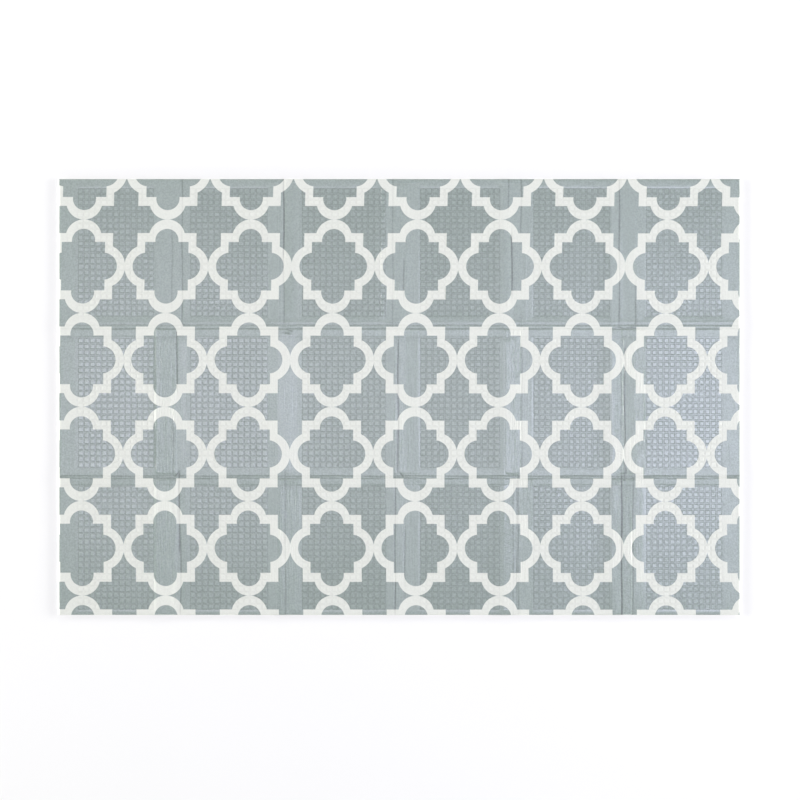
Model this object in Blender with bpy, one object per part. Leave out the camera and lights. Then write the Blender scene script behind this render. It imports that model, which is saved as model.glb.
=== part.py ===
"""A folding foam play mat faced with printed film, opened out flat on the floor.

Metres, +Z up, +X along the mat. The origin is on the floor under the middle of the mat.
The film is pressed into eighteen raised fields, six along by three across. It is smooth in the
bands between them, where the mat folds. Folding has left creases in the bands, and small lifts
that hold the bands a little off the floor.
"""

import bmesh
import bpy
import numpy as np

MM = 0.001

# The cut sheet
LENGTH = 1.400
WIDTH = 0.8966
FIELD_THICKNESS = 0.0050
BAND_THICKNESS = 0.0044
SHOULDER = 0.004
EDGE_ROLL = 0.003
EDGE_DROP = 0.0008

# The raised fields, in millimetres from the middle of the mat
FIELD_COLUMNS = (
    # left, right
    (-662, -505),
    (-431, -271),
    (-201, -28),
    (42, 207),
    (275, 433),
    (507, 664),
)
FIELD_ROWS = (
    # lower, upper
    (-438, -183),
    (-146, 122),
    (165, 430),
)

# How far each band stands off the floor along its middle, in millimetres
LIFTED_COLUMNS = (
    # x, in the lower row, in the middle row, in the upper row
    (-458, 2.2, 0.8, 1.2),
    (-236, 0.5, 1.8, 0.6),
    (-2, 1.0, 0.4, 1.6),
    (240, 0.8, 2.0, 0.8),
    (462, 2.4, 0.8, 1.4),
)
ROW_MIDDLES = (-306, -10, 300)
LIFTED_ROWS = (
    # y, lift
    (-164, 1.0),
    (144, 1.4),
)
LIFT_REACH = 0.070

# Creases along the bands, in millimetres. Each runs straight down from its first end to its
# second. A height above zero is a ridge, and one below zero is a groove.
CREASES = (
    # x, upper end, lower end, half width, height
    (-447, 448, 152, 3.0, -0.7),
    (-468, 346, 191, 3.0, -0.5),
    (-458, 130, 20, 3.5, -1.1),
    (-466, -40, -156, 3.0, -0.7),
    (-453, -163, -310, 4.0, -1.6),
    (-450, -300, -448, 3.5, -1.2),
    (-440, -163, -448, 6.0, 0.5),
    (-238, 448, 300, 4.0, -1.4),
    (-238, 290, 152, 3.0, -0.8),
    (-228, 144, -163, 18.0, 0.5),
    (-235, -163, -448, 3.0, -0.6),
    (-14, 448, 152, 3.0, -0.6),
    (9, 275, 215, 3.0, -0.6),
    (-3, 144, -163, 3.5, -1.3),
    (-9, -163, -448, 3.0, -1.1),
    (224, 448, 395, 3.0, -0.8),
    (250, 448, 340, 3.5, -0.8),
    (231, 331, 215, 4.0, -1.4),
    (233, 144, -163, 15.0, 0.6),
    (236, -163, -448, 3.0, -0.6),
    (243, -163, -448, 3.0, -0.6),
    (452, 448, 152, 3.0, -0.9),
    (485, 240, 152, 3.5, -0.6),
    (462, 144, -163, 4.0, -1.3),
    (457, -163, -448, 4.0, -1.6),
    (468, -163, -448, 5.0, 0.7),
    (481, -163, -448, 3.5, -0.7),
)
# Creases right across the mat, in millimetres
CROSS_CREASES = (
    # y, half width, height
    (152, 3.0, 0.4),
    (144, 5.0, -0.8),
    (131, 5.0, 0.4),
    (-154, 4.0, 0.4),
    (-164, 4.0, -1.0),
    (-175, 5.0, 0.4),
)
CREASE_END = 0.020
UNDER_LIFT_LINES = 7
CLOSEST_LINES = 0.0018

FILM_COLOUR = (0.385, 0.440, 0.455, 1.0)
FILM_ROUGHNESS = 0.35


def clear_scene():
    for obj in list(bpy.data.objects):
        bpy.data.objects.remove(obj, do_unlink=True)


def film_material():
    material = bpy.data.materials.new("printed_film")
    material.use_nodes = True
    shader = material.node_tree.nodes["Principled BSDF"]
    shader.inputs["Base Color"].default_value = FILM_COLOUR
    shader.inputs["Roughness"].default_value = FILM_ROUGHNESS
    shader.inputs["Metallic"].default_value = 0.0
    return material


def in_fields(place, spans):
    """1 inside the raised spans, 0 outside them, and a straight slope across each shoulder."""
    share = 0.0
    for start, end in spans:
        inside = min(place - start * MM, end * MM - place)
        share = max(share, float(np.clip(inside / SHOULDER + 1.0, 0.0, 1.0)))
    return share


def hump(distance, reach):
    """1 at the middle, easing to 0 at the reach."""
    return float(np.cos(np.pi / 2 * min(abs(distance) / reach, 1.0)) ** 2)


def crease_height(x, y):
    total = 0.0
    for middle, upper, lower, half_width, height in CREASES:
        past_end = max(y - upper * MM, lower * MM - y, 0.0)
        total += height * MM * hump(x - middle * MM, half_width * MM) * hump(past_end, CREASE_END)
    for middle, half_width, height in CROSS_CREASES:
        total += height * MM * hump(y - middle * MM, half_width * MM)
    return total


def lift(x, y):
    """How far the underside stands off the floor."""
    total = 0.0
    row_middles = [middle * MM for middle in ROW_MIDDLES]
    for middle, *row_lifts in LIFTED_COLUMNS:
        height = float(np.interp(y, row_middles, row_lifts)) * MM
        total += height * max(0.0, 1.0 - abs(x - middle * MM) / LIFT_REACH) ** 2
    for middle, height in LIFTED_ROWS:
        total += height * MM * max(0.0, 1.0 - abs(y - middle * MM) / LIFT_REACH) ** 2
    return total


def thickness(x, y):
    raised = in_fields(x, FIELD_COLUMNS) * in_fields(y, FIELD_ROWS)
    sheet = BAND_THICKNESS + (FIELD_THICKNESS - BAND_THICKNESS) * raised
    to_edge = min(LENGTH / 2 - abs(x), WIDTH / 2 - abs(y))
    rolled = EDGE_DROP * max(0.0, 1.0 - to_edge / EDGE_ROLL) ** 2
    return sheet + crease_height(x, y) - rolled


def kept_apart(wanted, half_size):
    """The wanted grid lines in order, from edge to edge, with no two too close."""
    lines = [-half_size]
    for line in sorted(wanted):
        if line - lines[-1] > CLOSEST_LINES and half_size - line > CLOSEST_LINES:
            lines.append(line)
    return [*lines, half_size]


def top_lines(half_size, spans, creases, lifted):
    """Lines at the edge roll, the shoulders, the creases and the lifts' feet."""
    wanted = [-half_size + EDGE_ROLL, half_size - EDGE_ROLL]
    for start, end in spans:
        middle = (start + end) / 2
        wanted += [start * MM - SHOULDER, start * MM, middle * MM, end * MM, end * MM + SHOULDER]
    for middle, half_width in creases:
        wanted += [(middle + side * half_width) * MM for side in (-1, 0, 1)]
    wanted += [middle * MM + side * LIFT_REACH for middle in lifted for side in (-1, 1)]
    return kept_apart(wanted, half_size)


def under_lines(half_size, lifted, more=()):
    """Lines across each lift, and any more that are asked for."""
    shares = np.linspace(-1.0, 1.0, UNDER_LIFT_LINES)
    wanted = [middle * MM + share * LIFT_REACH for middle in lifted for share in shares]
    return kept_apart([*wanted, *(place * MM for place in more)], half_size)


def sheet_grid(bm, columns, rows, height):
    """Vertices of one side of the mat, in rows from the lower edge of the mat up."""
    return [[bm.verts.new((x, y, height(x, y))) for x in columns] for y in rows]


def add_faces(bm, grid, facing_up):
    for lower, upper in zip(grid, grid[1:]):
        for i in range(len(lower) - 1):
            corners = (lower[i], lower[i + 1], upper[i + 1], upper[i])
            bm.faces.new(corners if facing_up else reversed(corners))


def add_walls(bm, top, under):
    """One flat wall along each edge of the cut sheet, between two grids of different lines."""
    sides = (
        (top[0], under[0]),
        ([row[-1] for row in top], [row[-1] for row in under]),
        (top[-1][::-1], under[-1][::-1]),
        ([row[0] for row in top][::-1], [row[0] for row in under][::-1]),
    )
    for above, below in sides:
        bm.faces.new([*below, *reversed(above)])


def mat_mesh():
    lifted_columns = [row[0] for row in LIFTED_COLUMNS]
    lifted_rows = [row[0] for row in LIFTED_ROWS]
    creases = [(x, half_width) for x, _, _, half_width, _ in CREASES]
    cross_creases = [(y, half_width) for y, half_width, _ in CROSS_CREASES]
    bm = bmesh.new()
    under = sheet_grid(
        bm,
        under_lines(LENGTH / 2, lifted_columns),
        under_lines(WIDTH / 2, lifted_rows, ROW_MIDDLES),
        lift,
    )
    top = sheet_grid(
        bm,
        top_lines(LENGTH / 2, FIELD_COLUMNS, creases, lifted_columns),
        top_lines(WIDTH / 2, FIELD_ROWS, cross_creases, lifted_rows),
        lambda x, y: lift(x, y) + thickness(x, y),
    )
    add_faces(bm, under, facing_up=False)
    add_faces(bm, top, facing_up=True)
    add_walls(bm, top, under)
    mesh = bpy.data.meshes.new("foam_mat")
    bm.to_mesh(mesh)
    bm.free()
    return mesh


def main():
    clear_scene()
    mat = bpy.data.objects.new("foam_mat", mat_mesh())
    mat.data.materials.append(film_material())
    bpy.context.scene.collection.objects.link(mat)


main()
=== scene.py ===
"""Looks of a folding foam play mat, faced with printed and pressed film, lying opened out.

Metres, +Z up, +X along the mat, with the origin on the floor under the middle of the mat.
"""

import bpy
import numpy as np
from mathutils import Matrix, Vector


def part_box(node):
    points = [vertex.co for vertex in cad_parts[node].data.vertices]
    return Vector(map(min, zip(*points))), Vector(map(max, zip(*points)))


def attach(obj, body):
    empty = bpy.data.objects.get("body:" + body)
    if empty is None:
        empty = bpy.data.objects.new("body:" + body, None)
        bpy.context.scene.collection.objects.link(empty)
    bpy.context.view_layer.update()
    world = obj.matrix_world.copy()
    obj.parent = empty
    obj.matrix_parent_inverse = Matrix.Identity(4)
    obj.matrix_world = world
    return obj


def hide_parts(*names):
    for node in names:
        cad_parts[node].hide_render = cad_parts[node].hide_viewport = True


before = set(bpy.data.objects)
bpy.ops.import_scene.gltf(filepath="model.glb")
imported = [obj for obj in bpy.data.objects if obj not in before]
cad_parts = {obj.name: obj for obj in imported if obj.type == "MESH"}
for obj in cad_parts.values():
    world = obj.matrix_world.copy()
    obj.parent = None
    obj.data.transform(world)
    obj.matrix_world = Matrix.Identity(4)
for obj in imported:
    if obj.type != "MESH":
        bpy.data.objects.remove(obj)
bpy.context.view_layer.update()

MM = 0.001
SEED = 11

# The cut sheet, as in the solids
NODE = "foam_mat"
node_low, node_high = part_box(NODE)
LENGTH = node_high[0] - node_low[0]
WIDTH = node_high[1] - node_low[1]
BAND_THICKNESS = 4.4 * MM
LATTICE_THICKNESS = 4.45 * MM
SHOULDER = 4.0 * MM
EDGE_ROLL = 3.0 * MM
EDGE_DROP = 0.8 * MM

# The pressed fields, in millimetres from the middle of the mat
FIELD_COLUMNS = (
    # left, right
    (-662, -505),
    (-431, -271),
    (-201, -28),
    (42, 207),
    (275, 433),
    (507, 664),
)
FIELD_ROWS = (
    # lower, upper
    (-438, -183),
    (-146, 122),
    (165, 430),
)
# A low lattice parts the cells. Inside it each cell has a groove round a pad, whose small top
# the press has polished.
CELL_ALONG = 12.45 * MM
CELL_ACROSS = 12.2 * MM
LATTICE_POLISH = 0.5
PAD_RINGS = (
    # share of the cell's size, height over the lattice and unevenness in mm, polish, painted shade
    (0.78, -0.10, 0.00, 0.0, 0.45),
    (0.56, 0.32, 0.12, 1.2, 0.0),
)

# How far each band stands off the floor along its middle, in millimetres
LIFTED_COLUMNS = (
    # x, in the lower row, in the middle row, in the upper row
    (-503, 1.5, 1.6, 0.6),
    (-250, 1.2, 2.4, 0.5),
    (-8, 0.8, 0.6, 0.8),
    (215, 1.8, 2.8, 1.2),
    (437, 1.6, 2.2, 1.0),
)
ROW_MIDDLES = (-306, -10, 300)
LIFTED_ROWS = (
    # y, lift
    (-164, 0.8),
    (144, 1.0),
)
LIFT_REACH = 45 * MM

# Creases along the bands, in millimetres. A height above zero is a ridge, below zero a groove.
# Each darkness, here and in the two tables below, is painted shade along the bottom of the crease.
CREASES = (
    # x, upper end, lower end, half width, height, darkness
    (-447, 448, 152, 3.0, -0.4, 0.5),
    (-468, 346, 191, 3.0, -0.3, 0.35),
    (-503, 115, -140, 3.0, -0.3, 0.4),
    (-458, 125, 20, 3.5, -0.5, 0.7),
    (-466, -40, -150, 3.0, -0.4, 0.4),
    (-453, -163, -310, 4.0, -0.6, 0.9),
    (-450, -300, -448, 3.5, -0.5, 0.7),
    (-440, -163, -448, 6.0, 0.3, 0.0),
    (-238, 448, 300, 4.0, -0.6, 0.9),
    (-238, 290, 155, 3.0, -0.4, 0.5),
    (-228, 144, -163, 18.0, 0.5, 0.0),
    (-235, -163, -448, 3.0, -0.3, 0.4),
    (-14, 448, 152, 3.0, -0.3, 0.35),
    (9, 275, 215, 3.0, -0.3, 0.5),
    (-3, 110, -145, 3.5, -0.5, 0.9),
    (-9, -170, -448, 3.0, -0.5, 0.7),
    (11, -278, -387, 3.0, -0.3, 0.5),
    (224, 448, 395, 3.0, -0.4, 0.5),
    (250, 448, 340, 3.5, -0.4, 0.5),
    (231, 331, 215, 4.0, -0.6, 0.9),
    (233, 144, -163, 15.0, 0.6, 0.0),
    (251, 110, -150, 3.0, -0.3, 0.4),
    (234, -170, -448, 3.0, -0.3, 0.45),
    (244, -170, -448, 3.5, -0.35, 0.5),
    (452, 448, 155, 3.0, -0.4, 0.7),
    (485, 237, 155, 3.5, -0.3, 0.5),
    (463, 95, -163, 4.0, -0.5, 0.7),
    (457, -170, -448, 4.0, -0.6, 1.0),
    (468, -170, -448, 5.0, 0.4, 0.0),
    (480, -175, -448, 3.5, -0.35, 0.5),
)
# Creases right across the mat, in millimetres
CROSS_CREASES = (
    # y, half width, height, darkness
    (154, 4.0, 0.2, 0.0),
    (148, 2.2, -0.3, 0.3),
    (140, 2.5, -0.4, 0.35),
    (123.6, 1.6, -0.15, 0.2),
    (-163, 2.2, -0.4, 0.35),
    (-168, 2.2, -0.4, 0.3),
    (-181.4, 1.6, -0.15, 0.2),
)
# Short wrinkles where the folds cross, in millimetres, each fading out to its ends
WRINKLES = (
    # x, y, degrees from +X, half length, half width, height, darkness
    (-445, 150, -45, 6, 2.2, -0.3, 0.4),
    (-226, 137, -22, 12, 2.2, -0.4, 0.6),
    (-231, 131, -9, 16, 2.2, -0.4, 0.5),
    (-229, 134, -14, 10, 1.6, 0.3, 0.0),
    (-262, 149, 4, 16, 2.2, -0.2, 0.3),
    (244, 157, -5, 14, 2.0, -0.2, 0.3),
    (249, 163, -8, 11, 2.0, -0.2, 0.3),
    (443, 141, 34, 9, 2.2, -0.3, 0.4),
    (455, 143, -18, 13, 2.2, -0.5, 0.7),
    (475, 143, 10, 16, 2.2, -0.5, 0.6),
    (484, 150, 62, 9, 2.4, -0.3, 0.4),
    (-457, -158, 49, 15, 2.4, -0.5, 0.7),
    (-471, -167, 0, 9, 2.0, -0.3, 0.5),
    (4, -160, -50, 12, 2.6, -0.5, 0.8),
    (238, -158, -2, 18, 1.8, 0.3, 0.0),
    (444, -166, 37, 8, 2.2, -0.3, 0.5),
    (480, -166, -42, 9, 2.2, -0.3, 0.5),
    (466, -152, 88, 15, 2.4, -0.5, 0.7),
)
CREASE_END = 20 * MM
CREASE_WANDER = 0.6 * MM
CREASE_WANDER_LENGTH = 170 * MM
# Half width of the painted shade along the bottoms of the creases
CREASE_SHADE_HALF_WIDTH = 2.4 * MM
# Flat strips that stand up between the creases, in millimetres
RIBS = (
    # left, right, upper end, lower end, height at its left, height at its right
    (-503, -459, 140, -158, 0.4, 0.2),
    (-456, -432, 140, -158, 0.2, 0.0),
    (-248, -209, 140, -158, 0.4, 0.1),
    (217, 250, 140, -158, 0.6, 0.1),
    (437, 462, 140, -158, 0.4, 0.1),
    (463, 484, 330, 150, 0.0, 0.4),
    (464, 484, 140, -158, 0.0, 0.5),
    (484, 505, 140, -158, 0.5, 0.0),
    (-503, -458, -170, -448, 0.3, 0.1),
    (-248, -237, -170, -340, 0.3, 0.1),
    (213, 234, -170, -448, 0.4, 0.1),
    (460, 478, -170, -448, 0.4, 0.2),
)
RIB_EDGE = 4.0 * MM
RIB_CORNER = 9.0 * MM
# Strips with fine streaks along them, fainter on all the bands, and strips of small puckers
BAND_STREAKS = 0.3
STREAKED = (
    # left, right, upper end, lower end, how much
    (-503, -459, 140, -158, 1.0),
    (-503, -458, -170, -448, 1.0),
    (-40, 20, 440, 152, 0.6),
    (-12, 40, 140, -158, 0.6),
    (217, 250, 140, -158, 0.7),
    (455, 505, 140, -158, 0.9),
    (-248, -205, -170, -448, 0.8),
    (240, 275, -170, -448, 0.8),
    (437, 500, -170, -448, 0.7),
)
PUCKERED = (
    # left, right, upper end, lower end, how much
    (-234, -216, 448, 170, 1.0),
    (203, 226, 448, 170, 0.8),
    (238, 262, 330, 150, 0.5),
    (206, 236, -200, -440, 1.0),
    (440, 458, 140, -158, 0.6),
    (460, 478, -170, -448, 0.6),
)
# Strips that the fold has smoothed to a higher shine, or dulled, which is below zero
SHEEN = (
    # left, right, upper end, lower end, how much
    (-272, -248, 440, 155, -0.6),
    (-243, -209, 440, 155, -1.0),
    (-27, 40, 440, 155, -0.6),
    (205, 262, 440, 155, -0.4),
    (436, 451, 440, 155, -0.6),
    (460, 484, 440, 155, -1.0),
    (-501, -489, 130, -158, 0.8),
    (-449, -438, 130, -130, 0.8),
    (-252, -209, 130, -150, 1.0),
    (-27, -12, 130, -150, -0.6),
    (-10, -6, 130, -150, 0.6),
    (0, 3, 130, -150, 0.6),
    (7, 10, 130, -150, 0.6),
    (13, 40, 130, -150, -0.6),
    (204, 213, 130, -150, -0.6),
    (215, 250, 130, -160, 1.0),
    (436, 457, 125, -165, 1.2),
    (466, 482, 125, -165, -0.6),
    (485, 507, 125, -165, 1.2),
    (-272, -252, -190, -440, -0.6),
    (-448, -444, -190, -440, 0.6),
    (-250, -239, -190, -440, 0.8),
    (-27, 6, -190, -440, -0.5),
    (14, 40, -190, -440, -0.9),
    (215, 233, -180, -440, 1.2),
    (436, 451, -180, -440, 1.2),
    (464, 470, -180, -440, 1.0),
    (488, 507, -180, -440, 0.8),
)
STRIP_EDGE = 5.0 * MM

# Grid
BAND_STEP_ALONG = 1.35 * MM
BAND_STEP_ACROSS = 1.2 * MM
BORDER_STEP = 3.0 * MM
EDGE_STEPS = 3
SHARP_ANGLE = 0.2
UNDER_LIFT_LINES = 7

# The film: its noises' waves to the metre, its relief, and how much a change shows on the white
GRAIN_WAVES = 300.0
STREAK_WAVES = 330.0
PUCKER_WAVES = 420.0
MOTTLE_WAVES = 9.0
GRAIN_RELIEF = 0.3 * MM
STREAK_RELIEF = 2.2 * MM
PUCKER_RELIEF = 1.0 * MM
GRAIN_SHADE = 0.09
# How far the painted shade in the creases and cell grooves darkens the film at its deepest
PAINTED_SHADE_DEPTH = 0.6
SHOWS_ON_WHITE = 0.3
FILM_IOR = 1.65

# The printed trellis: rings in even columns and rows, as sizes from one ring's middle
PRINT_PITCH_X = 171.56 * MM
PRINT_PITCH_Y = 193.55 * MM
PRINT_MIDDLE_X = 31.9 * MM
PRINT_MIDDLE_Y = -117.3 * MM
PRINT_SKEW = 0.00554
PRINT_BOW = 0.0248
PRINT_STRETCH = 0.0097
PRINT_TURN = 0.0006
PRINT_EDGE = 0.8 * MM
RING_SHAPES = {
    # half width, half height, end lobes' middle and radius, side lobes' middle and radius
    "outside": (60.7, 68.6, 59.8, 37.1, 41.5, 45.0),
    "inside": (44.6, 50.2, 53.5, 23.8, 41.6, 28.0),
}

# The photograph's view
IMAGE_PIXELS = 800
MAT_PIXELS = 680
CAMERA_HEIGHT = 6.0
SENSOR = 36.0
MAT_MIDDLE_PIXEL = (399.5, 397.0)

# Plain studio light: soft boxes over the mat, and low banks on all four sides to light the floor
SURROUND = 0.27
LAVENDER = (0.86, 0.80, 1.0)
BLUE = (0.76, 0.76, 1.0)
WHITE = (1.0, 1.0, 1.0)
LIGHTS = (
    # name, place, aimed at, size, power, colour
    ("overhead_left", (-0.85, 0.0, 3.2), (-0.85, 0.0, 0.0), (0.9, 0.8), 9.9, LAVENDER),
    ("overhead", (0.1, 0.0, 3.2), (0.1, 0.0, 0.0), (1.0, 0.6), 5.0, LAVENDER),
    ("overhead_right", (1.1, -0.10, 3.2), (1.1, -0.10, 0.0), (1.4, 1.0), 29.0, BLUE),
    ("overhead_far", (0.2, 0.75, 3.2), (0.2, 0.75, 0.0), (2.6, 0.5), 2.5, LAVENDER),
    ("far_strip", (-0.8, 1.7, 3.2), (0.0, 0.0, 0.0), (2.0, 0.5), 12.5, WHITE),
    ("left_bank", (-5.0, 0.2, 0.75), (0.0, 0.0, 0.0), (4.0, 0.8), 355, WHITE),
    ("right_bank", (5.0, 0.2, 0.75), (0.0, 0.0, 0.0), (4.0, 0.8), 355, WHITE),
    ("near_bank", (0.0, -5.0, 0.75), (0.0, 0.0, 0.0), (4.0, 0.8), 136, WHITE),
    ("far_bank", (0.0, 5.0, 1.5), (0.0, 0.0, 0.0), (4.0, 0.8), 73, WHITE),
)


def line_set(half_size, fields, cell, band_step):
    """Grid lines from edge to edge, and whether each gap between two of them is a cell."""
    lines = [-half_size]
    is_cell = []

    def run_to(end, count, cells):
        lines.extend(np.linspace(lines[-1], end, count + 1)[1:])
        is_cell.extend([cells] * count)

    run_to(EDGE_ROLL - half_size, EDGE_STEPS, False)
    step = BORDER_STEP
    for start, end in fields:
        run_to(start * MM, round((start * MM - lines[-1]) / step), False)
        run_to(end * MM, round((end - start) * MM / cell), True)
        step = band_step
    last = half_size - EDGE_ROLL
    run_to(last, round((last - lines[-1]) / BORDER_STEP), False)
    run_to(half_size, EDGE_STEPS, False)
    return np.array(lines), np.array(is_cell)


def hump(distance, reach):
    """1 at the middle, easing to 0 at the reach."""
    return np.cos(np.pi / 2 * np.minimum(np.abs(distance) / reach, 1.0)) ** 2


def in_fields(place, spans):
    """1 inside the pressed spans, 0 outside them, and a slope across each shoulder."""
    share = np.zeros_like(place)
    for start, end in spans:
        inside = np.minimum(place - start * MM, end * MM - place)
        share = np.maximum(share, np.clip(inside / SHOULDER + 1.0, 0.0, 1.0))
    return share


def crease_lines(x, y):
    """For each crease: distance from its line, half width, share left along it, height, darkness."""
    for middle, upper, lower, half_width, height, darkness in CREASES:
        past_end = np.maximum(np.maximum(y - upper * MM, lower * MM - y), 0.0)
        bend = CREASE_WANDER * np.sin(2 * np.pi * y / CREASE_WANDER_LENGTH + middle)
        left = hump(past_end, CREASE_END)
        yield x - middle * MM - bend, half_width * MM, left, height * MM, darkness
    for middle, half_width, height, darkness in CROSS_CREASES:
        bend = CREASE_WANDER * np.sin(2 * np.pi * x / CREASE_WANDER_LENGTH + middle)
        yield y - middle * MM - bend, half_width * MM, 1.0, height * MM, darkness
    for middle_x, middle_y, degrees, half_length, half_width, height, darkness in WRINKLES:
        turn = np.radians(degrees)
        from_x, from_y = x - middle_x * MM, y - middle_y * MM
        along = from_x * np.cos(turn) + from_y * np.sin(turn)
        across = from_y * np.cos(turn) - from_x * np.sin(turn)
        left = hump(along, half_length * MM)
        yield across, half_width * MM, left, height * MM, darkness


def crease_height(x, y):
    total = np.zeros_like(x)
    for away, reach, left, height, _ in crease_lines(x, y):
        total += height * left * hump(away, reach)
    return total


def painted_shade(x, y):
    """How much painted shade, from 0 to 1, darkens the film along the bottoms of the creases."""
    most = np.zeros_like(x)
    for away, _, left, _, darkness in crease_lines(x, y):
        most = np.maximum(most, darkness * left * hump(away, CREASE_SHADE_HALF_WIDTH))
    return most


def in_strip(x, y, left, right, upper, lower, corner, edge):
    """1 inside an oblong with rounded corners, 0 outside it."""
    out_x = np.abs(x - (left + right) / 2 * MM) - (right - left) / 2 * MM + corner
    out_y = np.abs(y - (upper + lower) / 2 * MM) - (upper - lower) / 2 * MM + corner
    away = np.hypot(np.maximum(out_x, 0.0), np.maximum(out_y, 0.0))
    away += np.minimum(np.maximum(out_x, out_y), 0.0) - corner
    return np.clip(0.5 - away / edge, 0.0, 1.0)


def rib_height(x, y):
    total = np.zeros_like(x)
    for left, right, upper, lower, left_height, right_height in RIBS:
        height = np.interp(x, (left * MM, right * MM), (left_height * MM, right_height * MM))
        total += height * in_strip(x, y, left, right, upper, lower, RIB_CORNER, RIB_EDGE)
    return total


def strip_share(x, y, strips):
    """The amounts of the strips over each point, added up, with soft edges to the strips."""
    total = np.zeros_like(x)
    for left, right, upper, lower, amount in strips:
        total += amount * in_strip(x, y, left, right, upper, lower, 0.0, STRIP_EDGE)
    return total


def pressed(x, y):
    """1 on the pressed fields, 0 on the smooth bands, and a slope between them."""
    return in_fields(x, FIELD_COLUMNS) * in_fields(y, FIELD_ROWS)


def lift(x, y):
    """How far the underside stands off the floor."""
    total = np.zeros_like(x)
    row_middles = np.array(ROW_MIDDLES) * MM
    for middle, *row_lifts in LIFTED_COLUMNS:
        height = np.interp(y, row_middles, row_lifts) * MM
        total += height * np.clip(1.0 - np.abs(x - middle * MM) / LIFT_REACH, 0.0, 1.0) ** 2
    for middle, height in LIFTED_ROWS:
        near = np.clip(1.0 - np.abs(y - middle * MM) / LIFT_REACH, 0.0, 1.0)
        total += height * MM * near**2
    return total


def thickness(x, y):
    """Of the sheet without its pads."""
    sheet = BAND_THICKNESS + (LATTICE_THICKNESS - BAND_THICKNESS) * pressed(x, y)
    to_edge = np.minimum(LENGTH / 2 - np.abs(x), WIDTH / 2 - np.abs(y))
    rolled = EDGE_DROP * np.clip(1.0 - to_edge / EDGE_ROLL, 0.0, 1.0) ** 2
    return sheet + crease_height(x, y) + rib_height(x, y) - rolled


def grid_quads(numbers):
    """Each quad's four corners, facing up, from a grid of vertex numbers."""
    corners = [numbers[:-1, :-1], numbers[:-1, 1:], numbers[1:, 1:], numbers[1:, :-1]]
    return np.stack(corners, axis=-1)


def top_face():
    """(points, quads, grid of the numbers of its lines' points, polish, painted shade in the cell
    grooves).
    """
    x_lines, x_cells = line_set(LENGTH / 2, FIELD_COLUMNS, CELL_ALONG, BAND_STEP_ALONG)
    y_lines, y_cells = line_set(WIDTH / 2, FIELD_ROWS, CELL_ACROSS, BAND_STEP_ACROSS)
    x, y = np.meshgrid(x_lines, y_lines)
    places = np.stack([x.ravel(), y.ravel()], axis=-1)
    numbers = np.arange(len(places)).reshape(x.shape)
    quads = grid_quads(numbers)
    is_cell = np.outer(y_cells, x_cells)
    ring = quads[is_cell]
    faces = [quads[~is_cell]]
    corners = places[ring]
    middles = corners.mean(axis=1, keepdims=True)
    raised = [np.zeros(len(places))]
    polished = [LATTICE_POLISH * pressed(*places.T)]
    groove_shade = [np.zeros(len(places))]
    rng = np.random.default_rng(SEED)
    for share, height, unevenness, polish, ring_shade in PAD_RINGS:
        inner = len(places) + np.arange(ring.size).reshape(ring.shape)
        places = np.concatenate([places, (middles + (corners - middles) * share).reshape(-1, 2)])
        raised.append((height + unevenness * (rng.random(ring.size) - 0.5)) * MM)
        polished.append(np.full(ring.size, polish))
        # Painted shade for each ring, strongest in the groove round the pad
        groove_shade.append(np.full(ring.size, ring_shade))
        sides = [ring, np.roll(ring, -1, axis=1), np.roll(inner, -1, axis=1), inner]
        faces.append(np.stack(sides, axis=-1).reshape(-1, 4))
        ring = inner
    faces.append(ring)
    x, y = places.T
    z = lift(x, y) + thickness(x, y) + np.concatenate(raised)
    points = np.stack([x, y, z], axis=-1)
    return points, np.concatenate(faces), numbers, np.concatenate(polished), np.concatenate(groove_shade)


def under_lines(half_size, lifted, more=()):
    """Lines across each lift, and any more that are asked for."""
    shares = np.linspace(-1.0, 1.0, UNDER_LIFT_LINES)
    wanted = [middle * MM + share * LIFT_REACH for middle in lifted for share in shares]
    wanted += [place * MM for place in more]
    return np.array([-half_size, *sorted(wanted), half_size])


def under_face():
    """(points, quads facing down, grid of vertex numbers) of the underside."""
    x, y = np.meshgrid(
        under_lines(LENGTH / 2, [row[0] for row in LIFTED_COLUMNS]),
        under_lines(WIDTH / 2, [row[0] for row in LIFTED_ROWS], ROW_MIDDLES),
    )
    numbers = np.arange(x.size).reshape(x.shape)
    points = np.stack([x, y, lift(x, y)], axis=-1).reshape(-1, 3)
    return points, grid_quads(numbers).reshape(-1, 4)[:, ::-1], numbers


def wall_faces(top, under):
    """One flat wall along each edge of the cut sheet."""
    sides = (
        (top[0], under[0]),
        (top[:, -1], under[:, -1]),
        (top[-1, ::-1], under[-1, ::-1]),
        (top[::-1, 0], under[::-1, 0]),
    )
    return [[*below.tolist(), *above[::-1].tolist()] for above, below in sides]


def make_mat():
    top, top_quads, top_numbers, polished, groove_shade = top_face()
    under, under_quads, under_numbers = under_face()
    faces = (
        top_quads.tolist(),
        wall_faces(top_numbers, under_numbers + len(top)),
        (under_quads + len(top)).tolist(),
    )
    mesh = bpy.data.meshes.new("mat_sheet")
    points = np.concatenate([top, under])
    mesh.from_pydata(points.tolist(), [], [face for part in faces for face in part])
    counts = [len(part) for part in faces]
    mesh.polygons.foreach_set("material_index", np.repeat([0, 1, 2], counts))
    mesh.polygons.foreach_set("use_smooth", np.repeat([True, False, True], counts))
    x, y, _ = top.T
    looks = {
        "polish": polished + strip_share(x, y, SHEEN),
        # Painted shade along the crease bottoms and in the cell grooves
        "painted_shade": np.maximum(painted_shade(x, y), groove_shade),
        "streaks": np.maximum(strip_share(x, y, STREAKED), BAND_STREAKS * (1.0 - pressed(x, y))),
        "puckers": strip_share(x, y, PUCKERED),
    }
    for name, values in looks.items():
        layer = mesh.attributes.new(name, "FLOAT", "POINT")
        layer.data.foreach_set("value", np.pad(values, (0, len(under))))
    mesh.update()
    mesh.set_sharp_from_angle(angle=SHARP_ANGLE)
    mat = bpy.data.objects.new("mat_sheet", mesh)
    bpy.context.scene.collection.objects.link(mat)
    return mat


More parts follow.
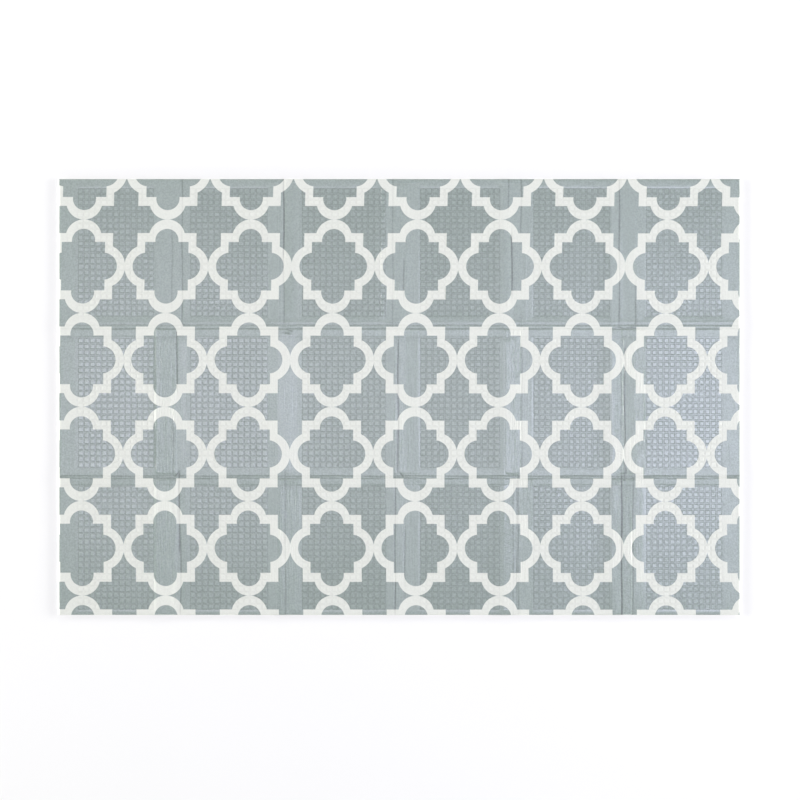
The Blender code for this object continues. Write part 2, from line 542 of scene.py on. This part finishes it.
class Nodes:
    """Short calls for the nodes of one material."""

    def __init__(self, name):
        self.material = bpy.data.materials.new(name)
        self.material.use_nodes = True
        self.tree = self.material.node_tree
        self.shader = self.tree.nodes["Principled BSDF"]

    def add(self, kind, **settings):
        node = self.tree.nodes.new(kind)
        for name, value in settings.items():
            setattr(node, name, value)
        return node

    def feed(self, socket, value):
        """Links another node's output to the socket, or sets a plain value on it."""
        if isinstance(value, bpy.types.NodeSocket):
            self.tree.links.new(value, socket)
        else:
            socket.default_value = value

    def math(self, operation, *values, clamp=False):
        node = self.add("ShaderNodeMath", operation=operation, use_clamp=clamp)
        for socket, value in zip(node.inputs, values):
            self.feed(socket, value)
        return node.outputs[0]

    def place(self):
        """The x and y of the point on the mat, and the vector of its place."""
        coordinates = self.add("ShaderNodeTexCoord").outputs["Object"]
        split = self.add("ShaderNodeSeparateXYZ")
        self.feed(split.inputs[0], coordinates)
        return split.outputs[0], split.outputs[1], coordinates

    def attribute(self, name):
        return self.add("ShaderNodeAttribute", attribute_name=name).outputs["Fac"]

    def noise(self, vector, scale, detail=2.0, stretch=(1.0, 1.0, 1.0)):
        mapping = self.add("ShaderNodeMapping")
        self.feed(mapping.inputs["Vector"], vector)
        self.feed(mapping.inputs["Scale"], stretch)
        node = self.add("ShaderNodeTexNoise")
        self.feed(node.inputs["Vector"], mapping.outputs[0])
        self.feed(node.inputs["Scale"], scale)
        self.feed(node.inputs["Detail"], detail)
        return node.outputs["Fac"]

    def rescale(self, value, low, high, new_low, new_high):
        node = self.add("ShaderNodeMapRange")
        for socket, number in zip(node.inputs, (value, low, high, new_low, new_high)):
            self.feed(socket, number)
        return node.outputs[0]

    def mix(self, share, first, second):
        node = self.add("ShaderNodeMix", data_type="RGBA")
        self.feed(node.inputs["Factor"], share)
        self.feed(node.inputs["A"], first)
        self.feed(node.inputs["B"], second)
        return node.outputs["Result"]

    def scaled_colour(self, colour, factor):
        node = self.add("ShaderNodeVectorMath", operation="SCALE")
        self.feed(node.inputs[0], colour)
        self.feed(node.inputs["Scale"], factor)
        return node.outputs[0]

    def bump(self, height, strength, distance, normal=None):
        node = self.add("ShaderNodeBump")
        self.feed(node.inputs["Height"], height)
        self.feed(node.inputs["Strength"], strength)
        self.feed(node.inputs["Distance"], distance)
        if normal is not None:
            self.feed(node.inputs["Normal"], normal)
        return node.outputs[0]


def ring_distance(nodes, x, y, shape):
    """Distance out of a block with a round lobe on each side, below zero inside it."""
    half_width, half_height, end_middle, end_radius, side_middle, side_radius = (
        size * MM for size in RING_SHAPES[shape]
    )

    def from_lobe(middle_x, middle_y, radius):
        across = nodes.math("POWER", nodes.math("SUBTRACT", x, middle_x), 2.0)
        along = nodes.math("POWER", nodes.math("SUBTRACT", y, middle_y), 2.0)
        away = nodes.math("SQRT", nodes.math("ADD", across, along))
        return nodes.math("SUBTRACT", away, radius)

    block = nodes.math(
        "MAXIMUM",
        nodes.math("SUBTRACT", x, half_width),
        nodes.math("SUBTRACT", y, half_height),
    )
    lobes = nodes.math(
        "MINIMUM",
        from_lobe(0.0, end_middle, end_radius),
        from_lobe(side_middle, 0.0, side_radius),
    )
    return nodes.math("MINIMUM", block, lobes)


def trellis(nodes, x, y):
    """1 on the trellis's lines and 0 between them. The print runs a little askew and bowed."""
    bow = nodes.math("MULTIPLY_ADD", y, PRINT_BOW, PRINT_SKEW)
    drift_x = nodes.math("MULTIPLY_ADD", nodes.math("MULTIPLY", y, bow), -1.0, x)
    column = nodes.math("SUBTRACT", drift_x, PRINT_MIDDLE_X)
    turned = nodes.math("MULTIPLY_ADD", x, PRINT_TURN, y)
    row = nodes.math("SUBTRACT", turned, PRINT_MIDDLE_Y)
    row = nodes.math("MULTIPLY", row, nodes.math("MULTIPLY_ADD", y, PRINT_STRETCH, 1.0))
    in_x = nodes.math("PINGPONG", column, PRINT_PITCH_X / 2)
    in_y = nodes.math("PINGPONG", row, PRINT_PITCH_Y / 2)
    outside = ring_distance(nodes, in_x, in_y, "outside")
    inside = ring_distance(nodes, in_x, in_y, "inside")
    within = nodes.math("MULTIPLY_ADD", outside, -1.0 / PRINT_EDGE, 0.5, clamp=True)
    beyond = nodes.math("MULTIPLY_ADD", inside, 1.0 / PRINT_EDGE, 0.5, clamp=True)
    return nodes.math("MULTIPLY", within, beyond)


def film_material():
    nodes = Nodes("printed_film")
    x, y, place = nodes.place()
    lines = trellis(nodes, x, y)
    painted_darkening = nodes.attribute("painted_shade")
    polish = nodes.attribute("polish")
    mottle = nodes.noise(place, MOTTLE_WAVES, detail=3.0)
    grain = nodes.noise(place, GRAIN_WAVES)
    grey = nodes.mix(mottle, (0.274, 0.328, 0.296, 1.0), (0.288, 0.342, 0.311, 1.0))
    white = nodes.mix(mottle, (0.672, 0.695, 0.618, 1.0), (0.697, 0.720, 0.643, 1.0))
    colour = nodes.mix(lines, grey, white)
    faint = nodes.rescale(lines, 0.0, 1.0, 1.0, SHOWS_ON_WHITE)
    grain_shade = nodes.rescale(grain, 0.35, 0.65, -GRAIN_SHADE, GRAIN_SHADE)
    uneven = nodes.math("MULTIPLY", grain_shade, faint)
    # Painted shade in the creases and cell grooves, fainter on the white
    darker = nodes.math("MULTIPLY", nodes.math("MULTIPLY", painted_darkening, -PAINTED_SHADE_DEPTH), faint)
    shade = nodes.math("ADD", nodes.math("ADD", uneven, 1.0), darker)
    nodes.feed(nodes.shader.inputs["Base Color"], nodes.scaled_colour(colour, shade))
    matt = nodes.rescale(lines, 0.0, 1.0, 0.25, 0.5)
    polish = nodes.math("MULTIPLY", polish, nodes.rescale(lines, 0.0, 1.0, -0.11, -0.04))
    nodes.feed(nodes.shader.inputs["Roughness"], nodes.math("ADD", matt, polish))
    nodes.feed(nodes.shader.inputs["IOR"], FILM_IOR)
    streaks = nodes.noise(place, STREAK_WAVES, detail=3.0, stretch=(1.0, 0.05, 1.0))
    puckers = nodes.noise(place, PUCKER_WAVES, detail=1.0, stretch=(0.35, 1.0, 1.0))
    height = nodes.math("MULTIPLY", streaks, nodes.attribute("streaks"))
    normal = nodes.bump(height, 1.0, STREAK_RELIEF)
    height = nodes.math("MULTIPLY", puckers, nodes.attribute("puckers"))
    normal = nodes.bump(height, 1.0, PUCKER_RELIEF, normal)
    normal = nodes.bump(grain, 1.0, GRAIN_RELIEF, normal)
    nodes.feed(nodes.shader.inputs["Normal"], normal)
    return nodes.material


def foam_material():
    """The cut edge: white foam with fine closed cells."""
    nodes = Nodes("cut_foam")
    _, _, place = nodes.place()
    cells = nodes.add("ShaderNodeTexVoronoi")
    nodes.feed(cells.inputs["Vector"], place)
    nodes.feed(cells.inputs["Scale"], 1400.0)
    shade = nodes.rescale(cells.outputs["Distance"], 0.0, 0.6, 0.74, 0.84)
    nodes.feed(nodes.shader.inputs["Base Color"], nodes.scaled_colour((1.0, 0.99, 0.965), shade))
    nodes.feed(nodes.shader.inputs["Roughness"], 0.85)
    normal = nodes.bump(cells.outputs["Distance"], 0.5, 0.3 * MM)
    nodes.feed(nodes.shader.inputs["Normal"], normal)
    return nodes.material


def backing_material():
    """The underside: plain off-white film."""
    nodes = Nodes("backing_film")
    _, _, place = nodes.place()
    mottle = nodes.noise(place, 14.0, detail=4.0)
    grain = nodes.noise(place, GRAIN_WAVES)
    colour = nodes.mix(mottle, (0.68, 0.68, 0.66, 1.0), (0.74, 0.74, 0.72, 1.0))
    nodes.feed(nodes.shader.inputs["Base Color"], colour)
    nodes.feed(nodes.shader.inputs["Roughness"], nodes.rescale(grain, 0.3, 0.7, 0.42, 0.55))
    nodes.feed(nodes.shader.inputs["Normal"], nodes.bump(grain, 0.4, 0.2 * MM))
    return nodes.material


def make_floor():
    nodes = Nodes("pale_floor")
    _, _, place = nodes.place()
    mottle = nodes.noise(place, 3.0)
    colour = nodes.mix(mottle, (0.870, 0.875, 0.834, 1.0), (0.880, 0.885, 0.844, 1.0))
    nodes.feed(nodes.shader.inputs["Base Color"], colour)
    nodes.feed(nodes.shader.inputs["Roughness"], 0.9)
    half = 12.0
    mesh = bpy.data.meshes.new("floor")
    corners = [(-half, -half, 0.0), (half, -half, 0.0), (half, half, 0.0), (-half, half, 0.0)]
    mesh.from_pydata(corners, [], [(0, 1, 2, 3)])
    floor = bpy.data.objects.new("floor", mesh)
    floor.data.materials.append(nodes.material)
    bpy.context.scene.collection.objects.link(floor)


def area_light(name, place, target, size, power, colour):
    lamp = bpy.data.lights.new(name, "AREA")
    lamp.shape = "RECTANGLE"
    lamp.size, lamp.size_y = size
    lamp.energy = power
    lamp.color = colour
    light = bpy.data.objects.new(name, lamp)
    light.location = place
    direction = Vector(target) - Vector(place)
    light.rotation_euler = direction.to_track_quat("-Z", "Y").to_euler()
    light.visible_camera = False
    bpy.context.scene.collection.objects.link(light)


def make_lights():
    for name, place, target, size, power, colour in LIGHTS:
        area_light(name, place, target, size, power, colour)
    world = bpy.data.worlds.new("studio")
    world.use_nodes = True
    world.node_tree.nodes["Background"].inputs["Color"].default_value = (1.0, 1.0, 1.0, 1.0)
    world.node_tree.nodes["Background"].inputs["Strength"].default_value = SURROUND
    bpy.context.scene.world = world
    bpy.context.scene.view_settings.view_transform = "Standard"


def make_camera():
    """Straight down, so far off that the mat's outline stays square."""
    pixel = LENGTH / MAT_PIXELS
    lens = bpy.data.cameras.new("camera")
    lens.sensor_width = SENSOR
    lens.lens = SENSOR * CAMERA_HEIGHT / (IMAGE_PIXELS * pixel)
    lens.clip_end = 100.0
    camera = bpy.data.objects.new("camera", lens)
    half = IMAGE_PIXELS / 2
    camera.location = (
        (half - MAT_MIDDLE_PIXEL[0]) * pixel,
        (MAT_MIDDLE_PIXEL[1] - half) * pixel,
        CAMERA_HEIGHT,
    )
    bpy.context.scene.collection.objects.link(camera)
    bpy.context.scene.camera = camera


def main():
    mat = make_mat()
    for material in (film_material(), foam_material(), backing_material()):
        mat.data.materials.append(material)
    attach(mat, "root")
    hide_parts(NODE)
    make_floor()
    make_lights()
    make_camera()


main()
